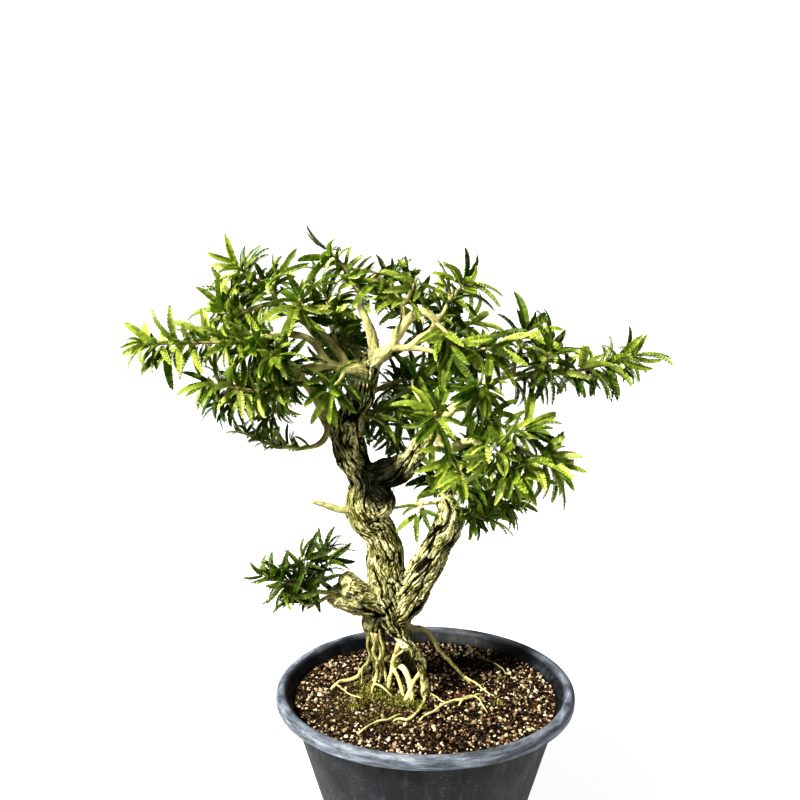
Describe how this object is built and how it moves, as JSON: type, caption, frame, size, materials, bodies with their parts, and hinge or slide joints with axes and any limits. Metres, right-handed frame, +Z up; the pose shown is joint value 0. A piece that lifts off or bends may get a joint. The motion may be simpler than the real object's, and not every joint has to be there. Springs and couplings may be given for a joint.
{
  "type": "bonsai tree in a pot",
  "caption": "Calliandra bonsai with a fluted leaning trunk, bared roots and a wide flat crown of twice-divided leaves, growing in a round tapered nursery pot filled with grit.",
  "frame": {"origin": "centre of the flat underside of the pot", "axes": "+Z up, +X to the right and +Y to the back as the picture shows the tree"},
  "size_m": [0.4457, 0.2607, 0.5464],
  "materials": {
    "pot": "black plastic, dusty and scratched",
    "soil": "loose grit",
    "bark": "rough bark",
    "leaf": "satin leaf"
  },
  "bodies": {
    "root": {"pot": "pot", "soil": "soil", "wood": "bark", "shoot_back_left": "leaf", "shoot_long_left": "leaf", "shoot_up_left": "leaf", "shoot_fan": "leaf", "shoot_inner_fan": "leaf", "shoot_left_crown": "leaf", "shoot_hanging": "leaf", "shoot_below_long": "leaf", "shoot_grey": "leaf", "shoot_leader": "leaf", "shoot_leader_fork": "leaf", "shoot_right_up": "leaf", "shoot_right_up_fork": "leaf", "shoot_right_top": "leaf", "shoot_spire": "leaf", "shoot_right_drop": "leaf", "shoot_right_mid": "leaf", "shoot_long_right": "leaf", "shoot_riser": "leaf", "shoot_long_front": "leaf", "shoot_long_back": "leaf", "shoot_east": "leaf", "shoot_lower_right": "leaf", "shoot_south_east": "leaf", "shoot_south": "leaf", "shoot_inner_south": "leaf", "shoot_second_left": "leaf", "shoot_second_right": "leaf", "shoot_low_east": "leaf", "shoot_low_back": "leaf", "shoot_low_hang": "leaf", "shoot_bridge": "leaf", "shoot_wisp": "leaf", "shoot_behind_right": "leaf", "shoot_back_fan": "leaf", "shoot_back_up": "leaf", "shoot_back_left_low": "leaf", "shoot_back_right": "leaf", "shoot_back_right_up": "leaf", "shoot_back_right_low": "leaf", "shoot_back_east": "leaf", "shoot_back_low": "leaf", "shoot_rear": "leaf", "shoot_rear_left": "leaf", "shoot_pale_drop": "leaf", "shoot_low_left": "leaf", "shoot_low_left_fork": "leaf", "shoot_dropper": "leaf", "shoot_curl": "leaf", "shoot_stump": "leaf", "shoot_stump_riser": "leaf", "shoot_stump_tall": "leaf", "shoot_stump_arc": "leaf", "shoot_front_right": "leaf", "shoot_front_top": "leaf", "shoot_front_low": "leaf", "shoot_front_left": "leaf"}
  },
  "joints": []
}
